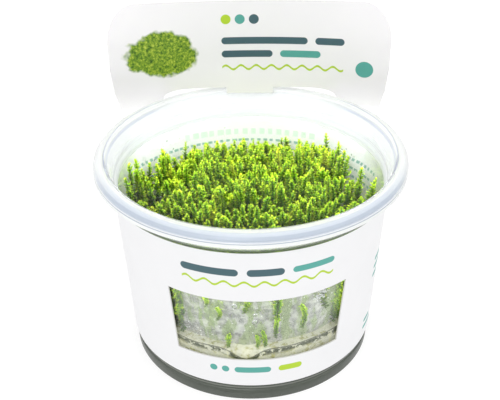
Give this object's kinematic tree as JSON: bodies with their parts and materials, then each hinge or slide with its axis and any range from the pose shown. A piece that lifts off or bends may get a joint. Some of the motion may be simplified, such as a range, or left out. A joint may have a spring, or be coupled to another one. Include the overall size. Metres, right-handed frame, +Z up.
{
  "type": "tissue culture weeping moss in a clear cup",
  "caption": "Dense upright weeping moss growing from gel in a clear round culture cup with a clear press-on lid, in a white card sleeve with a front window and a tall header.",
  "frame": {"origin": "centre of the cup's base, on the plane it stands on", "axes": "+Z up along the cup's axis, -Y towards the front with the window, +X to the right seen from the front"},
  "size_m": [0.0996, 0.0996, 0.1019],
  "materials": {
    "cup_plastic": "gloss",
    "lid_plastic": "gloss",
    "white_card": "satin",
    "nutrient_gel": "gloss",
    "moss": "matte"
  },
  "bodies": {
    "root": {"cup": "cup_plastic", "lid": "lid_plastic", "card_sleeve": "white_card", "gel": "nutrient_gel", "moss_right": "moss", "moss_back_right": "moss", "moss_back_left": "moss", "moss_left": "moss", "moss_front_left": "moss", "moss_front_right": "moss", "moss_middle": "moss"}
  },
  "joints": []
}
